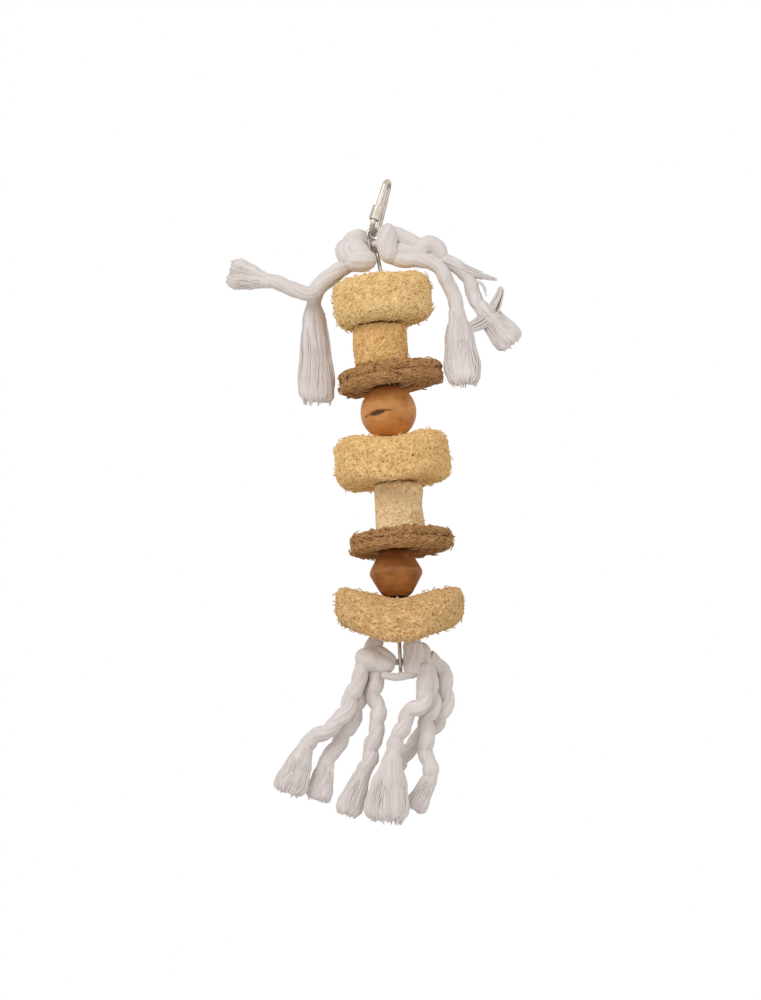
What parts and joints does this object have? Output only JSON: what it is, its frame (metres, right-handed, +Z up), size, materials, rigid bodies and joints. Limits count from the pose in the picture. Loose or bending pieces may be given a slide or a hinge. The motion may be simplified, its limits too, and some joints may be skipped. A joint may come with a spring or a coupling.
{
  "type": "hanging bird toy",
  "caption": "Hanging cage toy: loofah slices and tubes, fibre discs and wooden balls threaded on a steel chain, with knotted cotton rope tails and a quick link to hang it by.",
  "frame": {"origin": "the hang point, inside the top bend of the quick link", "axes": "+Z up along the hanging chain, +X to the right seen from the front, -Y towards the viewer"},
  "size_m": [0.154, 0.066, 0.3414],
  "materials": {
    "nickel_steel": "nickel-plated steel wire",
    "loofah": "dry net of loofah fibre",
    "coir_fibre": "pressed layers of coarse brown fibre",
    "light_wood": "smooth turned wood with a natural crack",
    "dark_wood": "turned wood, stained darker",
    "cotton_rope": "soft unbleached cotton, frayed at the ends"
  },
  "bodies": {
    "hanger": {"quick_link": "nickel_steel"},
    "nut": {"sleeve_nut": "nickel_steel"},
    "top_rope": {"chain_link_01": "nickel_steel", "top_left_knot": "cotton_rope", "top_right_knot": "cotton_rope", "top_left_out_tail": "cotton_rope", "top_left_out_fray": "cotton_rope", "top_left_down_tail": "cotton_rope", "top_left_down_fray": "cotton_rope", "top_right_down_tail": "cotton_rope", "top_right_down_fray": "cotton_rope", "top_right_out_tail": "cotton_rope", "top_right_out_fray": "cotton_rope"},
    "chain": {"chain_link_02": "nickel_steel", "chain_link_03": "nickel_steel", "chain_link_04": "nickel_steel", "chain_link_05": "nickel_steel", "chain_link_06": "nickel_steel", "chain_link_07": "nickel_steel", "chain_link_08": "nickel_steel", "chain_link_09": "nickel_steel", "chain_link_10": "nickel_steel", "chain_link_11": "nickel_steel", "chain_link_12": "nickel_steel", "chain_link_13": "nickel_steel", "chain_link_14": "nickel_steel", "chain_link_15": "nickel_steel", "chain_link_16": "nickel_steel", "chain_link_17": "nickel_steel", "chain_link_18": "nickel_steel", "bottom_left_knot": "cotton_rope", "bottom_right_knot": "cotton_rope", "bottom_1_tail": "cotton_rope", "bottom_1_fray": "cotton_rope", "bottom_2_tail": "cotton_rope", "bottom_2_fray": "cotton_rope", "bottom_3_tail": "cotton_rope", "bottom_3_fray": "cotton_rope", "bottom_4_tail": "cotton_rope", "bottom_4_fray": "cotton_rope", "bottom_5_tail": "cotton_rope", "bottom_5_fray": "cotton_rope", "bottom_6_tail": "cotton_rope", "bottom_6_fray": "cotton_rope"},
    "top_slice": {"loofah_slice_top": "loofah"},
    "top_tube": {"loofah_tube_top": "loofah"},
    "top_disc": {"fibre_disc_top": "coir_fibre"},
    "upper_ball": {"round_ball": "light_wood"},
    "middle_slice": {"loofah_slice_middle": "loofah"},
    "middle_tube": {"loofah_tube_middle": "loofah"},
    "middle_disc": {"fibre_disc_middle": "coir_fibre"},
    "lower_ball": {"bevelled_ball": "dark_wood"},
    "bottom_slice": {"loofah_slice_bottom": "loofah"}
  },
  "joints": [
    {"name": "nut_travel", "type": "slide", "parent": "hanger", "child": "nut", "axis": [0.336, 0.1057, 0.9359], "range_m": [0, 0.006]},
    {"name": "link_swing", "type": "hinge", "parent": "hanger", "child": "top_rope", "pos_m": [-0.00837, 0, -0.02577], "axis": [0, 1, 0], "range_deg": [-25, 25]},
    {"name": "stack_swing", "type": "hinge", "parent": "top_rope", "child": "chain", "pos_m": [-0.00669, 0, -0.03776], "axis": [0.9903, 0, 0.1392], "range_deg": [-25, 25]},
    {"name": "top_slice_spin", "type": "hinge", "parent": "chain", "child": "top_slice", "pos_m": [-0.00494, 0, -0.0617], "axis": [-0.0698, 0, 0.9976], "continuous": true},
    {"name": "top_tube_spin", "type": "hinge", "parent": "chain", "child": "top_tube", "pos_m": [-0.00494, 0, -0.08551], "axis": [0, 0, 1], "continuous": true},
    {"name": "top_disc_spin", "type": "hinge", "parent": "chain", "child": "top_disc", "pos_m": [-0.00494, 0, -0.10239], "axis": [-0.0924, 0, 0.9957], "continuous": true},
    {"name": "upper_ball_spin", "type": "hinge", "parent": "chain", "child": "upper_ball", "pos_m": [-0.00494, 0, -0.12035], "axis": [0, 0, 1], "continuous": true},
    {"name": "middle_slice_spin", "type": "hinge", "parent": "chain", "child": "middle_slice", "pos_m": [-0.00494, 0, -0.14582], "axis": [-0.0436, 0, 0.999], "continuous": true},
    {"name": "middle_tube_spin", "type": "hinge", "parent": "chain", "child": "middle_tube", "pos_m": [-0.00494, 0, -0.17158], "axis": [0, 0, 1], "continuous": true},
    {"name": "middle_disc_spin", "type": "hinge", "parent": "chain", "child": "middle_disc", "pos_m": [-0.00494, 0, -0.18936], "axis": [-0.0314, 0, 0.9995], "continuous": true},
    {"name": "lower_ball_spin", "type": "hinge", "parent": "chain", "child": "lower_ball", "pos_m": [-0.00494, 0, -0.20504], "axis": [0, 0, 1], "continuous": true},
    {"name": "bottom_slice_spin", "type": "hinge", "parent": "chain", "child": "bottom_slice", "pos_m": [-0.00494, 0, -0.22592], "axis": [0.0436, 0, 0.999], "continuous": true}
  ]
}
